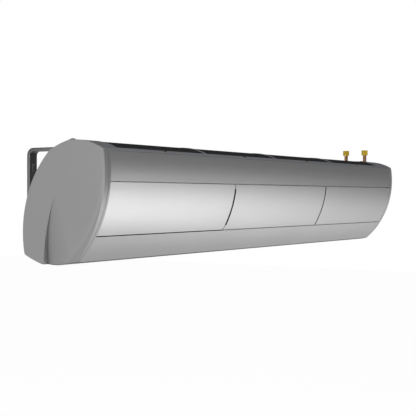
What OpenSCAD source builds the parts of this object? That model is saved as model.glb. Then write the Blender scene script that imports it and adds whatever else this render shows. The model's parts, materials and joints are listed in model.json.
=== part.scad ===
// Wall-mounted water-heated air curtain, in millimetres, +Z up, front towards -Y.
// The origin is on the wall, midway between the two slots of the left wall bracket.
// Sections are drawn in Y and Z, with Y back from the front line and Z up from the base line,
// and lengths run in X from the seam of the left end cap.

/* [Casing] */
// Length of the casing between the two end cap seams
casing_l = 1945; // [1500:5:2300]
// Depth of the casing, front line to rear line
casing_d = 298.5; // [294:0.5:310]
// Height of the casing over the base line
casing_h = 346.5; // [343:0.5:360]
// Thickness of the outer sheet
skin_t = 1.5; // [1:0.1:2]
// Depth of the front line under the crown
front_drop = 85.7; // [82:0.1:92]
// Height of the rear line
rear_z = 88.6; // [84:1:94]
// Radius of the front half of the top
top_front_r = 215; // [208:1:225]
// Share of the depth at which the crown stands, back from the front line
crown_share = 0.372; // [0.36:0.001:0.38]
// Distance of the shoulder, where the top meets the rear, from the rear line
shoulder_back = 100.8; // [97:0.1:104]
// Depth of the shoulder under the crown
shoulder_drop = 28.3; // [27:0.1:30]
// Centre of the rear half of the top, forward of the crown
top_rear_shift = 45; // [40:1:50]
// Place of the toe, where the front meets the underside, back from the front line
toe_y = 112.5; // [109:0.1:116]
// Radius of the underside
bottom_r = 330; // [320:1:345]
// Distance of the lowest line behind the rotor axis
low_lag = 19; // [14:0.5:24]
// Depth of the lowest line under the base line
base_drop = 2; // [1:0.1:4]
// Radius of the rear part of the underside
heel_r = 330; // [320:1:345]

/* [Front panels] */
// Depth of the groove over the middle panels under the front line
upper_groove_drop = 30.4; // [26:0.1:36]
// Height of the groove under the middle panels
lower_groove_z = 79.4; // [74:1:84]
// Width of the grooves
groove_w = 2.4; // [1.5:0.1:3]
// Share of the length at which the first panel gap stands
first_gap_share = 0.333; // [0.31:0.001:0.35]
// Share of the length at which the second panel gap stands
second_gap_share = 0.676; // [0.65:0.001:0.69]
// Width of the first panel gap
first_gap_w = 3; // [1.5:0.5:4]
// Width of the second panel gap
second_gap_w = 1.6; // [1:0.1:3]
// Height of the cropped corners of the middle panels
crop_h = 15; // [8:1:20]
// Width of the cropped corners of the middle panels
crop_w = 5; // [2:1:8]

/* [End caps] */
// Thickness of an end cap outside the seam
cap_t = 30; // [27:1:34]
// Wall of an end cap
cap_wall = 2.5; // [2:0.1:3]
// Radius of the soft edge at the lower front of an end cap
cap_edge_r = 22; // [18:1:24]
// Height at which the lower face of an end cap starts to lean in at the crease
lean_z = 208; // [200:1:214]
// Depth of the lean at the foot of the crease
lean_depth = 18; // [14:1:20]
// Radius of the crease
crease_r = 470; // [450:1:490]
// Place of the crease at its foot, back from the front line
crease_y = 217.6; // [212:0.1:222]

/* [Intake] */
// Number of grilles
grille_n = 4; // [3:1:5]
// Plain strip between the left seam and the first grille
grille_left = 46; // [40:1:60]
// Plain strip between the last grille and the right seam, where the pipes leave
grille_right = 105; // [100:1:120]
// Strip between two grilles
grille_strip = 14; // [10:1:20]
// Front edge of the intake, back from the front line
intake_y = 17; // [15:1:22]
// Rear edge of the intake, back from the front line
intake_end_y = 131; // [126:1:136]
// Height of the grille slats
slat_h = 6; // [5:0.5:8]
// Thickness of the grille slats
slat_t = 1.8; // [1.4:0.1:2.4]
// Number of slats in a grille
slat_n = 12; // [9:1:14]
// Number of cross ribs in a grille
rib_n = 7; // [5:1:9]

/* [Fan] */
// Radius of the impellers
fan_r = 58; // [54:1:59]
// Distance of the rotor axis from the rear line
fan_back = 127.5; // [126:0.5:129]
// Height of the rotor axis
fan_z = 140; // [138:1:142]
// Number of blades in an impeller
blade_n = 26; // [18:1:30]
// Thickness of a blade
blade_t = 1.2; // [1:0.1:1.5]
// Number of sections in an impeller
section_n = 5; // [3:1:6]
// Radius of the shafts
shaft_r = 6; // [5:0.5:7]
// Length of the motor body
motor_l = 124; // [110:1:130]
// Radius of the motor body
motor_r = 52; // [45:1:55]

/* [Coil] */
// Depth of the fin block, front to back
coil_d = 160; // [156:1:164]
// Height of the fin block
coil_h = 60; // [56:1:64]
// Depth of the underside of the fin block under the crown
coil_drop = 122.5; // [118:0.5:125]
// Radius of the coil tubes
tube_r = 6; // [5:0.5:7]
// Distance between fins as modelled
fin_pitch = 25; // [20:1:40]
// Thickness of a fin as modelled
fin_t = 1; // [0.8:0.1:1.5]

/* [Water pipes] */
// Radius of the two connecting pipes
pipe_r = 7.5; // [7:0.5:9]
// Height of the pipe tops over the crown
pipe_rise = 48.5; // [40:0.5:58]
// Place of the front pipe, back from the front line
pipe_front_y = 87; // [82:1:92]
// Place of the rear pipe, back from the front line
pipe_rear_y = 176; // [170:1:180]
// Distance between the pipes and the right seam
pipe_from_seam = 72; // [68:1:76]
// Size of the union hexagons across the flats
union_af = 24; // [24:1:27]
// Height of the unions
union_h = 21; // [20:1:24]
// Radius of the thread in the unions
thread_r = 9.3; // [9:0.1:9.6]

/* [Outlet] */
// Width of the outlet, front to back
outlet_w = 80; // [76:1:84]
// Height of the nozzles over the base line
nozzle_h = 58; // [54:1:60]
// Chord of a guide vane
vane_chord = 42; // [36:1:44]
// Thickness of a guide vane
vane_t = 6; // [5:0.5:8]
// Height of the vane pivots
vane_z = 33; // [32:1:35]
// Length of the vane cranks
crank_l = 14; // [12:1:15]

/* [Wall brackets] */
// Width of the bracket bar
bracket_w = 30; // [26:1:34]
// Thickness of the bracket bar
bracket_t = 10; // [8:1:12]
// Outer radius of the bracket bend
bend_r = 22; // [16:1:26]
// Distance from the rear line of the casing to the wall
wall_gap = 12.5; // [11:0.5:20]
// Depth of the top of the bracket arm under the crown
arm_drop = 17; // [16:0.5:20]
// Depth of the upper slot under the top of the arm
slot_drop = 59.5; // [54:0.5:66]
// Distance between the two slots of a bracket
slot_span = 120; // [100:1:130]
// Length of a slot
slot_l = 28; // [20:1:32]
// Width of a slot
slot_w = 8.6; // [7:0.1:9]

/* [Hidden] */
$fn = 96;

// General fits
overrun = 1;
seat_gap = 0.3;
fit_gap = 0.05;
sheet_t = 1.5;
plate_t = 2;

// Places that the casing gives
wall_y = casing_d + wall_gap;
arm_z = casing_h - arm_drop;
slot_z = arm_z - slot_drop;
slot_mid_z = slot_z - slot_span / 2;
mid_x = casing_l / 2;
front_z = casing_h - front_drop;
coil_z = casing_h - coil_drop;
pipe_top_z = casing_h + pipe_rise;
fan_y = casing_d - fan_back;
low_y = fan_y + low_lag;
crown_y = casing_d * crown_share;
top_rear_rise = 5.9;

// Radius of an arc that ends square to a line and reaches across by run_l and along by rise_l
function arc_radius(run_l, rise_l) = (run_l * run_l + rise_l * rise_l) / (2 * run_l);

// The discs whose common area is the section of the casing
bottom_c = [low_y, bottom_r - base_drop];
toe_z = bottom_c[1] - sqrt(bottom_r * bottom_r - (toe_y - low_y) * (toe_y - low_y));
front_r = arc_radius(toe_y, front_z - toe_z);
front_c = [front_r, front_z];
top_front_c = [crown_y, casing_h - top_front_r];
shoulder = [casing_d - shoulder_back, casing_h - shoulder_drop];
top_rear_y = crown_y - top_rear_shift;
top_rear_r = arc_radius(shoulder_drop + top_rear_rise, shoulder[0] - top_rear_y);
top_rear_c = [top_rear_y, casing_h + top_rear_rise - top_rear_r];
rear_r = arc_radius(shoulder_back, shoulder[1] - rear_z);
rear_c = [casing_d - rear_r, rear_z];
heel_shift = [48.4, 8.7];
heel_c = bottom_c - heel_shift;
outline_discs = [
    [front_c, front_r], [top_front_c, top_front_r], [top_rear_c, top_rear_r],
    [rear_c, rear_r], [heel_c, heel_r], [bottom_c, bottom_r]
];
nose_round = 9;
crown_round = 60;
shoulder_round = 60;
heel_round = 9;
sole_round = 60;
toe_round = 4.5;
outline_rounds = [nose_round, crown_round, shoulder_round, heel_round, sole_round, toe_round];

// A disc in the Y Z section
module disc(c, r) translate(c) circle(r, $fn = 360);

// Centre of the circle of radius r that rounds the corner of two discs
function corner_center(a, b, r) =
    let (
        ra = a[1] - r,
        rb = b[1] - r,
        gap = norm(b[0] - a[0]),
        u = (b[0] - a[0]) / gap,
        along_u = (ra * ra - rb * rb + gap * gap) / (2 * gap)
    )
    a[0] + along_u * u - sqrt(ra * ra - along_u * along_u) * [-u[1], u[0]];

// Seams between the sheets of the casing
nose_drop = 31.5;
nose_z = casing_h - nose_drop;
upper_groove_z = front_z - upper_groove_drop;
top_seam_back = 23;
top_seam_y = intake_end_y + top_seam_back;
heel_z = 25;
seam_gap = 0.4;
chassis_inset = 8;
flange_t = 1.5;

// What a rounded corner between two discs takes off
module corner_waste(a, b, r, inset) {
    c = corner_center(a, b, r);
    u = (c - a[0]) / norm(c - a[0]);
    v = (c - b[0]) / norm(c - b[0]);
    far = 3 * r;
    difference() {
        polygon([c, c + far * u, c + far * (u + v), c + far * v]);
        disc(c, r - inset);
    }
}

// The section of the casing, moved in by inset
module outline(inset) {
    difference() {
        intersection() {
            disc(front_c, front_r - inset);
            disc(top_front_c, top_front_r - inset);
            disc(top_rear_c, top_rear_r - inset);
            disc(rear_c, rear_r - inset);
            disc(heel_c, heel_r - inset);
            disc(bottom_c, bottom_r - inset);
        }
        for (i = [0 : len(outline_discs) - 1])
            if (outline_rounds[i] > inset)
                corner_waste(
                    outline_discs[i],
                    outline_discs[(i + 1) % len(outline_discs)],
                    outline_rounds[i],
                    inset
                );
    }
}

// The layer of the casing between two insets
module layer(outer, inner) {
    difference() {
        outline(outer);
        outline(inner);
    }
}

// Extrudes a Y Z section from x0 to x1
module run(x0, x1) translate([x0, 0, 0]) rotate([90, 0, 90]) linear_extrude(x1 - x0) children();

// A box of the Y Z section between two corners
module window(low, high) translate(low) square(high - low);

// A straight sheet in the section, on the left of the way from p to q
module strip(p, q, t) {
    translate(p)
        rotate(atan2(q[1] - p[1], q[0] - p[0]))
        square([norm(q - p), t]);
}

// An arc sheet in the section
module arc_sheet(c, r0, r1, a0, a1) {
    far = 2 * r1;
    mid = (a0 + a1) / 2;
    translate(c)
        intersection() {
            difference() {
                circle(r1);
                circle(r0);
            }
            polygon([
                [0, 0],
                far * [cos(a0), sin(a0)],
                far * [cos(mid), sin(mid)],
                far * [cos(a1), sin(a1)]
            ]);
        }
}

// Puts the casing's own frame on the wall
module on_wall() translate([-bracket_w / 2, -wall_y, -slot_mid_z]) children();

// Repeats a left-hand shape at the right end too
module both_ends() {
    children();
    at_right() children();
}

// Mirrors a left-hand shape to the right end
module at_right() translate([casing_l, 0, 0]) mirror([1, 0, 0]) children();

// A cylinder along X
module rod(x0, x1, y, z, r) {
    translate([x0, y, z]) rotate([0, 90, 0]) cylinder(h = x1 - x0, r = r);
}

// A front panel section: the skin and its two inward flanges
module panel_section(z0, z1, depth) {
    intersection() {
        layer(0, skin_t);
        window([-overrun, z0], [toe_y, z1]);
    }
    intersection() {
        layer(skin_t / 2, chassis_inset);
        union() {
            window([-overrun, z0], [depth, z0 + flange_t]);
            window([-overrun, z1 - flange_t], [depth, z1]);
        }
    }
}

// Front panels
module upper_front_panel() {
    color([0.45, 0.45, 0.45])
        on_wall()
        run(0, casing_l)
        panel_section(upper_groove_z + groove_w / 2, nose_z, lip_web_y - seat_gap);
}

module middle_panel(x0, x1, crop0, crop1) {
    low = lower_groove_z + groove_w / 2;
    high = upper_groove_z - groove_w / 2;
    color([0.85, 0.85, 0.85])
        on_wall()
        intersection() {
            run(x0 - crop0, x1) panel_section(low, high, crown_y);
            translate([0, crown_y, 0])
                rotate([90, 0, 0])
                linear_extrude(crown_y + overrun)
                polygon([
                    [x0 - crop0, low - overrun],
                    [x1 - crop1, low - overrun],
                    [x1 - crop1, low],
                    [x1, low + crop_h],
                    [x1, high - crop_h],
                    [x1 - crop1, high],
                    [x1 - crop1, high + overrun],
                    [x0 - crop0, high + overrun],
                    [x0 - crop0, high],
                    [x0, high - crop_h],
                    [x0, low + crop_h],
                    [x0 - crop0, low]
                ]);
        }
}

first_gap_x = casing_l * first_gap_share;
second_gap_x = casing_l * second_gap_share;

module front_panel_left() middle_panel(0, first_gap_x - first_gap_w / 2, 0, crop_w);

module front_panel_middle() {
    middle_panel(first_gap_x + first_gap_w / 2, second_gap_x - second_gap_w / 2, crop_w, crop_w);
}

module front_panel_right() middle_panel(second_gap_x + second_gap_w / 2, casing_l, crop_w, 0);

module lower_front_panel() {
    color([0.68, 0.68, 0.68])
        on_wall()
        run(0, casing_l)
        union() {
            intersection() {
                layer(0, skin_t);
                window([-overrun, -base_drop], [toe_y, lower_groove_z - groove_w / 2]);
            }
            intersection() {
                layer(skin_t / 2, chassis_inset);
                window(
                    [-overrun, lower_groove_z - groove_w / 2 - flange_t],
                    [toe_y, lower_groove_z - groove_w / 2]
                );
            }
        }
}

// Grilles and the top cover round them
grille_x0 = grille_left;
grille_x1 = casing_l - grille_right;
grille_pitch = (grille_x1 - grille_x0 + grille_strip) / grille_n;
grille_l = grille_pitch - grille_strip;
lip_t = 6;

module intake_opening(i, grow) {
    x0 = grille_x0 + i * grille_pitch;
    run(x0 - grow, x0 + grille_l + grow)
        window([intake_y - grow, nose_z], [intake_end_y + grow, casing_h + overrun]);
}

screw_r = 2;
screw_head_r = 3.5;
screw_y = intake_y - lip_t;
lip_web_y = screw_y + screw_head_r;
end_web_y = intake_end_y + screw_head_r;
shelf_in = slat_h + skin_t;

// Stands a shape on the front lip at the middle of grille i, square to the lip
module screw_place(i) {
    translate([grille_x0 + i * grille_pitch + grille_l / 2, top_front_c[0], top_front_c[1]])
        rotate([asin((crown_y - screw_y) / top_front_r), 0, 0])
        translate([0, 0, top_front_r])
        children();
}

module top_cover() {
    color([0.44, 0.45, 0.47])
        on_wall()
        difference() {
            union() {
                run(0, casing_l)
                    intersection() {
                        layer(0, skin_t);
                        window([-overrun, nose_z + seam_gap], [top_seam_y, casing_h + overrun]);
                    }
                // Shelves under the front lip and under the rear edge, on which the grilles lie
                run(bulkhead_in + overrun, casing_l - bulkhead_in - overrun)
                    union() {
                        intersection() {
                            layer(skin_t / 2, shelf_in + sheet_t);
                            union() {
                                window([lip_web_y, front_z], [lip_web_y + sheet_t, casing_h]);
                                window([end_web_y, front_z], [end_web_y + sheet_t, casing_h]);
                            }
                        }
                        intersection() {
                            layer(shelf_in, shelf_in + sheet_t);
                            union() {
                                window([lip_web_y, front_z], [intake_y + lip_t, casing_h]);
                                window([intake_end_y - lip_t, front_z], [end_web_y + sheet_t, casing_h]);
                            }
                        }
                    }
            }
            for (i = [0 : grille_n - 1])
                run(grille_x0 + i * grille_pitch, grille_x0 + i * grille_pitch + grille_l)
                    difference() {
                        window([intake_y, nose_z], [intake_end_y, casing_h + overrun]);
                        outline(shelf_in - fit_gap);
                    }
            for (y = [pipe_front_y, pipe_rear_y])
                if (y < top_seam_y)
                    translate([pipe_x, y, nose_z])
                        cylinder(h = casing_h, r = grommet_r + fit_gap);
            for (i = [0 : grille_n - 1])
                screw_place(i)
                    translate([0, 0, -lip_t])
                    cylinder(h = 2 * lip_t, r = screw_r + fit_gap);
        }
}

module intake_grille(i) {
    x0 = grille_x0 + i * grille_pitch + seat_gap;
    x1 = x0 + grille_l - 2 * seat_gap;
    y0 = intake_y + seat_gap;
    y1 = intake_end_y - seat_gap;
    frame_w = 4;
    step = (y1 - y0 - frame_w) / (slat_n + 1);
    rib_step = (x1 - x0 - frame_w) / (rib_n + 1);
    color([0.09, 0.09, 0.1])
        on_wall()
        union() {
            run(x0, x1)
                intersection() {
                    layer(skin_t, shelf_in - fit_gap);
                    union() {
                        for (k = [1 : slat_n])
                            window(
                                [y0 + frame_w / 2 + k * step - slat_t / 2, nose_z],
                                [y0 + frame_w / 2 + k * step + slat_t / 2, casing_h]
                            );
                        window([y0, nose_z], [y0 + frame_w, casing_h]);
                        window([y1 - frame_w, nose_z], [y1, casing_h]);
                    }
                }
            for (k = [0 : rib_n + 1])
                run(x0 + k * rib_step, x0 + k * rib_step + (k == 0 || k > rib_n ? frame_w : slat_t))
                    intersection() {
                        layer(skin_t * 2, shelf_in - fit_gap);
                        window([y0 + frame_w / 2, nose_z], [y1 - frame_w / 2, casing_h]);
                    }
        }
}

module grille_screws() {
    head_h = 2.2;
    color([0.12, 0.12, 0.12])
        on_wall()
        for (i = [0 : grille_n - 1])
            screw_place(i) {
                translate([0, 0, 2 * fit_gap])
                    cylinder(h = head_h, r = screw_head_r);
                translate([0, 0, -lip_t])
                    cylinder(h = lip_t + head_h, r = screw_r);
            }
}

// Rear and bottom covers
arm_slot_gap = 1.5;

module rear_cover() {
    color([0.5, 0.5, 0.51])
        on_wall()
        difference() {
            run(0, casing_l)
                intersection() {
                    layer(0, skin_t);
                    window([top_seam_y + seam_gap, heel_z + seam_gap], [casing_d + overrun, casing_h]);
                }
            both_ends()
                translate([-overrun, top_seam_y + arm_slot_gap, arm_z - bracket_t - arm_slot_gap])
                cube([
                    bracket_w + overrun + arm_slot_gap,
                    casing_d,
                    bracket_t + 2 * arm_slot_gap
                ]);
            translate([pipe_x, pipe_rear_y, nose_z])
                cylinder(h = casing_h, r = grommet_r + fit_gap);
            gland_place() rod_up(-gland_nut_t * 2, gland_nut_t * 2, gland_thread_r + fit_gap);
        }
}

module bottom_cover() {
    color([0.42, 0.42, 0.43])
        on_wall()
        difference() {
            run(0, casing_l)
                intersection() {
                    layer(0, skin_t);
                    window([toe_y + seam_gap, -base_drop - overrun], [casing_d + overrun, heel_z]);
                }
            both_ends()
                run(nozzle_x0 - seat_gap, nozzle_x1 + seat_gap)
                window(
                    [outlet_y0 - sheet_t - seat_gap, -base_drop - overrun],
                    [outlet_y1 + sheet_t + seat_gap, heel_z]
                );
        }
}

module front_chassis() {
    color([0.2, 0.2, 0.2])
        on_wall()
        run(bulkhead_in, casing_l - bulkhead_in)
        intersection() {
            layer(chassis_inset + fit_gap, chassis_inset + fit_gap + sheet_t);
            window([-overrun, heel_z], [toe_y, nose_z - chassis_inset]);
        }
}

// End caps
soft_shift_y = 10;
soft_shift_z = 20;
soft_grow = 8;
lean_top_y = crease_y - crease_r + sqrt(crease_r * crease_r - lean_z * lean_z);
lean_angle = atan2(lean_top_y - toe_y, lean_z - toe_z);
lean_reach = (crease_y - toe_y) * cos(lean_angle) + toe_z * sin(lean_angle);
lean_r = arc_radius(lean_depth, lean_reach);
boss_r = 6;
boss_shares = [[0.2, 0.83], [0.3, 0.35], [0.84, 0.55], [0.88, 0.17]];
boss_places = [for (p = boss_shares) [p[0] * casing_d, p[1] * casing_h]];
screw_pilot_r = 1.6;

module cap_form(wall) {
    depth = cap_t - wall;
    difference() {
        intersection() {
            run(-depth, overrun) outline(wall);
            translate([0, front_r - soft_shift_y, front_z + soft_shift_z])
                rotate([0, -90, 0])
                rotate_extrude()
                union() {
                    translate([0, -overrun])
                        square([front_r + soft_grow - cap_edge_r, depth + overrun]);
                    translate([0, -overrun])
                        square([front_r + soft_grow - wall, depth - cap_edge_r + wall + overrun]);
                    translate([front_r + soft_grow - cap_edge_r, depth - cap_edge_r + wall])
                        intersection() {
                            circle(cap_edge_r - wall);
                            square(cap_edge_r);
                        }
                }
        }
        difference() {
            translate([-cap_t - overrun, crease_y - crease_r, 0])
                rotate([0, 90, 0])
                cylinder(h = cap_t + overrun * 2, r = crease_r + wall, $fn = 180);
            translate([-cap_t, toe_y, toe_z])
                rotate([-lean_angle, 0, 0]) {
                    translate([lean_r - fit_gap, 0, -casing_d])
                        cylinder(h = 3 * casing_d, r = lean_r - wall, $fn = 180);
                    translate([-cap_t, -3 * casing_d, -casing_d])
                        cube([3 * cap_t, 3 * casing_d, 3 * casing_d]);
                }
        }
    }
}

module end_cap() {
    mould_gap = 0.2;
    line_x = 8.5;
    line_w = 1.2;
    line_d = 0.6;
    color([0.57, 0.57, 0.57]) {
        difference() {
            cap_form(0);
            cap_form(cap_wall);
            translate([-mould_gap, -casing_d, -casing_h])
                cube([cap_t, 3 * casing_d, 3 * casing_h]);
            run(-line_x - line_w, -line_x)
                difference() {
                    outline(-overrun);
                    outline(line_d);
                }
        }
        difference() {
            intersection() {
                for (p = boss_places)
                    rod(-cap_t, bulkhead_out - seat_gap, p[0], p[1], boss_r);
                union() {
                    cap_form(cap_wall / 2);
                    translate([-mould_gap, 0, 0])
                        cube([cap_t, casing_d, casing_h]);
                }
            }
            for (p = boss_places)
                rod(-cap_t / 3, cap_t, p[0], p[1], screw_pilot_r + fit_gap);
        }
    }
}

module end_cap_left() on_wall() end_cap();
module end_cap_right() on_wall() at_right() end_cap();

module end_cap_screws() {
    head_h = 2.4;
    color([0.6, 0.6, 0.6])
        on_wall()
        both_ends()
        for (p = boss_places) {
            rod(bulkhead_out - seat_gap - cap_wall * 3, bulkhead_in + head_h, p[0], p[1], screw_pilot_r);
            rod(bulkhead_in, bulkhead_in + head_h, p[0], p[1], 2 * screw_pilot_r);
        }
}

module end_cap_clips() {
    clip_t = 5;
    clip_w = 7;
    top_y = [0.445, 0.535] * casing_d;
    bottom_y = [0.857, 0.935] * casing_d;
    color([0.08, 0.08, 0.08])
        on_wall()
        both_ends()
        run(-clip_w, clip_w)
        intersection() {
            layer(-clip_t, -2 * fit_gap);
            union() {
                window([top_y[0], nose_z], [top_y[1], casing_h + clip_t]);
                window([bottom_y[0], -clip_t - base_drop], [bottom_y[1], heel_z]);
            }
        }
}

// Bulkheads
bulkhead_out = 2;
bulkhead_in = bulkhead_out + plate_t;
shelf_z = arm_z - bracket_t;
arm_lead = 9;
shelf_y0 = crown_y + arm_lead;
bolt_r = 4;
bolt_y = [shelf_y0 + bracket_w / 3, shelf_y0 + bracket_w * 4 / 3];

module bulkhead() {
    shelf_y1 = shelf_y0 + bracket_w * 5 / 3;
    color([0.55, 0.57, 0.58])
        difference() {
            union() {
                run(bulkhead_out, bulkhead_in)
                    difference() {
                        intersection() {
                            outline(skin_t + seat_gap);
                            disc(front_c, front_r - chassis_inset - fit_gap);
                        }
                        // Notch for the upper flange of the upper front panel
                        window([-overrun, nose_z - flange_t - fit_gap], [lip_web_y, casing_h]);
                    }
                translate([bulkhead_out, shelf_y0, shelf_z - plate_t])
                    cube([bracket_w, shelf_y1 - shelf_y0, plate_t]);
            }
            translate([0, shelf_y0 - seat_gap, shelf_z])
                cube([bulkhead_in + overrun, casing_d, bracket_t + seat_gap]);
            for (y = bolt_y)
                translate([bracket_w / 2, y, shelf_z - bracket_t])
                    cylinder(h = 2 * bracket_t, r = bolt_r + fit_gap);
            for (p = boss_places)
                rod(0, bulkhead_in + overrun, p[0], p[1], screw_pilot_r + fit_gap);
        }
}

module bulkhead_left() on_wall() bulkhead();
module bulkhead_right() on_wall() at_right() bulkhead();

// Wall brackets
module wall_bracket() {
    leg_y = wall_y - bracket_t;
    leg_z0 = slot_z - slot_span - slot_l;
    color([0.3, 0.3, 0.31])
        difference() {
            union() {
                translate([0, shelf_y0, shelf_z])
                    cube([bracket_w, wall_y - bend_r - shelf_y0, bracket_t]);
                translate([0, leg_y, leg_z0])
                    cube([bracket_w, bracket_t, arm_z - bend_r - leg_z0]);
                run(0, bracket_w)
                    intersection() {
                        difference() {
                            disc([wall_y - bend_r, arm_z - bend_r], bend_r);
                            disc([wall_y - bend_r, arm_z - bend_r], bend_r - bracket_t);
                        }
                        window([wall_y - bend_r, arm_z - bend_r], [wall_y, arm_z]);
                    }
            }
            for (z = [slot_z, slot_z - slot_span])
                translate([bracket_w / 2, wall_y + overrun, z])
                    rotate([90, 0, 0])
                    union() {
                        for (s = [-1, 1])
                            translate([0, s * (slot_l - slot_w) / 2, 0])
                                cylinder(h = bracket_t + 2 * overrun, r = slot_w / 2);
                        translate([-slot_w / 2, -(slot_l - slot_w) / 2, 0])
                            cube([slot_w, slot_l - slot_w, bracket_t + 2 * overrun]);
                    }
            for (y = bolt_y)
                translate([bracket_w / 2, y, shelf_z - overrun])
                    cylinder(h = bracket_t + 2 * overrun, r = bolt_r + fit_gap);
        }
}

module wall_bracket_left() on_wall() wall_bracket();
module wall_bracket_right() on_wall() at_right() wall_bracket();

module bracket_bolts() {
    head_h = 5.3;
    head_af = 13;
    color([0.62, 0.62, 0.6])
        on_wall()
        both_ends()
        for (y = bolt_y)
            translate([bracket_w / 2, y, shelf_z - plate_t]) {
                translate([0, 0, -head_h])
                    cylinder(h = head_h, r = head_af / sqrt(3), $fn = 6);
                translate([0, 0, -head_h / 2])
                    cylinder(h = head_h / 2 + plate_t + bracket_t - overrun, r = bolt_r);
            }
}

// Coil
coil_lead = 62;
coil_y0 = crown_y - coil_lead;
coil_y1 = coil_y0 + coil_d;
coil_x0 = 60;
header_room = 40;
coil_x1 = casing_l - grille_right - header_room;
column_n = 4;
column_pitch = coil_d / column_n;
row_pitch = coil_h / 2;
row_z = [coil_z + row_pitch / 2, coil_z + row_pitch * 3 / 2];
header_r = 11;
header_x = coil_x1 + 2 * header_r;
pipe_x = casing_l - pipe_from_seam;
grommet_wall = 3;
grommet_r = pipe_r + grommet_wall;

function column_y(k) = coil_y0 + (k + 0.5) * column_pitch;

module coil_section() {
    difference() {
        window([coil_y0, coil_z], [coil_y1, coil_z + coil_h]);
        for (k = [0 : column_n - 1])
            for (z = row_z)
                disc([column_y(k), z], tube_r + fit_gap);
    }
}

module coil_fins() {
    fin_n = floor((coil_x1 - coil_x0 - 2 * fin_pitch) / fin_pitch);
    first = coil_x0 + (coil_x1 - coil_x0 - fin_n * fin_pitch) / 2;
    color([0.75, 0.77, 0.78])
        on_wall()
        for (i = [0 : fin_n])
            run(first + i * fin_pitch, first + i * fin_pitch + fin_t) coil_section();
}

module coil_end_plates() {
    color([0.66, 0.68, 0.7])
        on_wall()
        for (x = [coil_x0, coil_x1 - plate_t])
            run(x, x + plate_t) coil_section();
}

module coil_tubes() {
    bend_out = 8;
    bend_x = coil_x0 - bend_out;
    color([0.72, 0.43, 0.27])
        on_wall()
        for (k = [0 : column_n - 1]) {
            for (z = row_z)
                rod(bend_x, header_x - header_r - seat_gap, column_y(k), z, tube_r);
            translate([bend_x, column_y(k), (row_z[0] + row_z[1]) / 2])
                rotate([90, -90, 0])
                rotate_extrude(angle = 180)
                translate([row_pitch / 2, 0])
                circle(tube_r);
        }
}

module header(z, pipe_y) {
    y0 = coil_y0 + column_pitch / 4;
    y1 = coil_y1 - column_pitch / 4;
    elbow_r = 20;
    color([0.7, 0.42, 0.26])
        on_wall()
        difference() {
            union() {
                translate([header_x, y0, z])
                    rotate([-90, 0, 0])
                    cylinder(h = y1 - y0, r = header_r);
                rod(header_x, pipe_x - elbow_r, pipe_y, z, pipe_r);
                translate([pipe_x - elbow_r, pipe_y, z + elbow_r])
                    rotate([90, 0, 0])
                    rotate_extrude(angle = -90)
                    translate([elbow_r, 0])
                    circle(pipe_r);
                translate([pipe_x, pipe_y, z + elbow_r])
                    cylinder(h = pipe_top_z - union_h - z - elbow_r + collar_t, r = pipe_r);
            }
            translate([pipe_x, pipe_y, z + 2 * elbow_r])
                cylinder(h = casing_h, r = pipe_r - sheet_t);
        }
}

collar_t = 3;

module supply_header() header(row_z[0], pipe_front_y);
module return_header() header(row_z[1], pipe_rear_y);

// A brass union: hexagon, wider collar at its foot, threaded bore
module brass_union(y) {
    collar_lip = 2.2;
    collar_r = union_af / 2 + collar_lip;
    thread_l = 15;
    color([0.8, 0.66, 0.15])
        on_wall()
        translate([pipe_x, y, pipe_top_z - union_h])
        difference() {
            union() {
                cylinder(h = collar_t, r = collar_r);
                intersection() {
                    cylinder(h = union_h, r = union_af / sqrt(3), $fn = 6);
                    cylinder(h = union_h, r = collar_r - sheet_t / 2);
                }
            }
            translate([0, 0, union_h - thread_l])
                cylinder(h = union_h, r = thread_r);
            translate([0, 0, -overrun])
                cylinder(h = union_h, r = pipe_r + fit_gap);
        }
}

module supply_union() brass_union(pipe_front_y);
module return_union() brass_union(pipe_rear_y);

// Rubber grommets where the pipes leave the casing, cut to the slope of the top
module pipe_grommets() {
    lip = 1.5;
    color([0.1, 0.1, 0.1])
        on_wall()
        for (y = [pipe_front_y, pipe_rear_y])
            difference() {
                intersection() {
                    translate([pipe_x, y, front_z])
                        cylinder(h = casing_h, r = grommet_r);
                    run(pipe_x - 2 * grommet_r, pipe_x + 2 * grommet_r)
                        layer(-lip, 2 * lip);
                }
                translate([pipe_x, y, 0])
                    cylinder(h = 2 * casing_h, r = pipe_r + fit_gap);
            }
}

// Bleed valve on the return header
module bleed_valve() {
    valve_r = 5;
    y = coil_y0 + column_pitch / 2;
    color([0.8, 0.66, 0.15])
        on_wall()
        translate([header_x, y, row_z[1] + header_r])
        difference() {
            union() {
                translate([0, 0, -valve_r / 5])
                    cylinder(h = 2 * valve_r, r = valve_r);
                translate([0, 0, valve_r])
                    cylinder(h = valve_r, r = valve_r * 1.4, $fn = 6);
            }
            translate([0, 0, -header_r])
                rotate([-90, 0, 0])
                translate([0, 0, -header_r])
                cylinder(h = 2 * header_r, r = header_r + fit_gap);
        }
}

// Rails that carry the coil from bulkhead to bulkhead
rail_w = 18;

module coil_rails() {
    color([0.55, 0.57, 0.58])
        on_wall()
        run(bulkhead_in, casing_l - bulkhead_in)
        union() {
            window([coil_y0 - 2 * sheet_t, coil_z - sheet_t], [coil_y0 + rail_w, coil_z]);
            window([coil_y0 - 2 * sheet_t, coil_z - sheet_t], [coil_y0 - sheet_t, coil_z + rail_w]);
            window([coil_y1 - rail_w, coil_z - sheet_t], [coil_y1 + 2 * sheet_t, coil_z]);
            window([coil_y1 + sheet_t, coil_z - sheet_t], [coil_y1 + 2 * sheet_t, coil_z + rail_w]);
        }
}

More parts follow.
